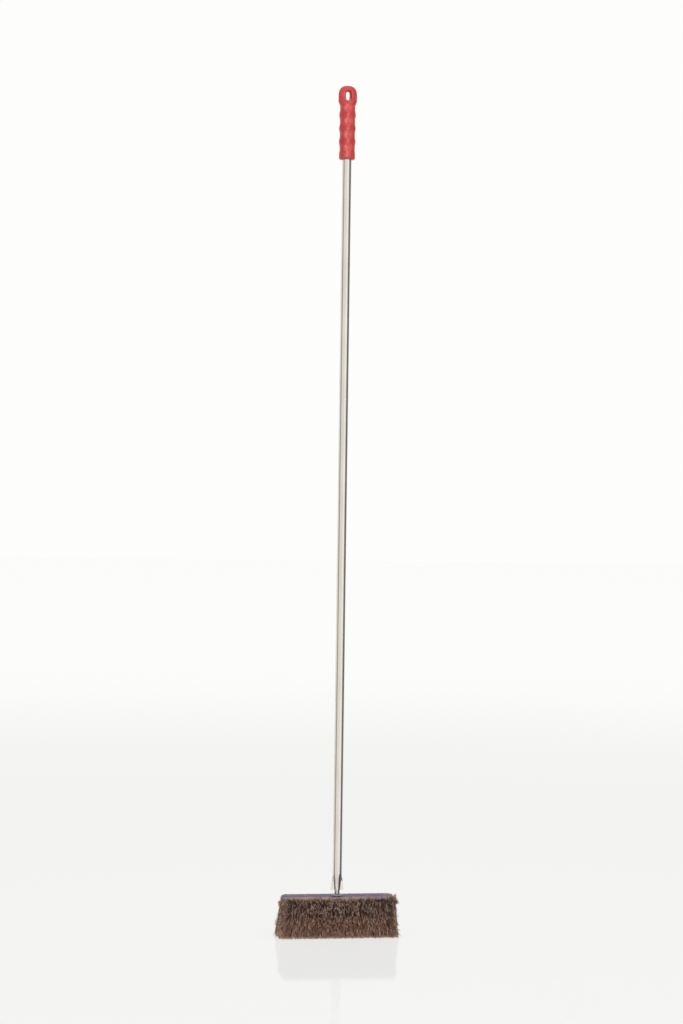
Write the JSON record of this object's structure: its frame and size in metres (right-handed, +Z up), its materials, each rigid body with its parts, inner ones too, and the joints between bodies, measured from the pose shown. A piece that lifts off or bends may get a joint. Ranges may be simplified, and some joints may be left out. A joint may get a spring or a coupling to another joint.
{
  "type": "oven brush",
  "caption": "Long-handled brush with a wide fibre head under a pressed steel cover plate, a stainless tube that screws into it and a bumped hanging grip.",
  "frame": {"origin": "middle of the head, on the plane of the fibre tips that the brush stands on", "axes": "+Z up along the handle, X along the head's long side, -Y towards the front"},
  "size_m": [0.2586, 0.066, 1.84],
  "materials": {
    "tube_steel": "polished stainless tube with fine lengthwise lines",
    "plate_steel": "smooth pressed stainless sheet",
    "fastener_steel": "plain turned or drawn steel",
    "block_wood": "bare hardwood",
    "brush_fibre": "dry natural fibre, dark brown with paler cut tips",
    "grip_plastic": "satin red moulded plastic"
  },
  "bodies": {
    "head": {"tuft_board": "block_wood", "cover_plate": "plate_steel", "threaded_insert": "fastener_steel", "cover_screw_1": "fastener_steel", "cover_screw_2": "fastener_steel", "cover_screw_3": "fastener_steel", "cover_screw_4": "fastener_steel", "draw_wire_front_1": "fastener_steel", "draw_wire_front_2": "fastener_steel", "draw_wire_front_3": "fastener_steel", "draw_wire_front_4": "fastener_steel", "draw_wire_back_1": "fastener_steel", "draw_wire_back_2": "fastener_steel", "draw_wire_back_3": "fastener_steel", "draw_wire_back_4": "fastener_steel", "bristle_row_front_1": "brush_fibre", "bristle_row_front_2": "brush_fibre", "bristle_row_front_3": "brush_fibre", "bristle_row_front_4": "brush_fibre", "bristle_row_back_1": "brush_fibre", "bristle_row_back_2": "brush_fibre", "bristle_row_back_3": "brush_fibre", "bristle_row_back_4": "brush_fibre"},
    "washer": {"seat_washer": "fastener_steel"},
    "handle": {"threaded_stud": "fastener_steel", "handle_tube": "tube_steel", "grip": "grip_plastic"}
  },
  "joints": [
    {"name": "handle_turn", "type": "hinge", "parent": "head", "child": "washer", "pos_m": [0, 0, 0.0891], "axis": [0, 0, 1], "range_deg": [0, 3600]},
    {"name": "handle_rise", "type": "slide", "parent": "washer", "child": "handle", "axis": [0, 0, 1], "range_m": [0, 0.015]}
  ],
  "couplings": [
    {"joint": "handle_rise", "follows": "handle_turn", "m_per_rad": 0.00023873}
  ]
}
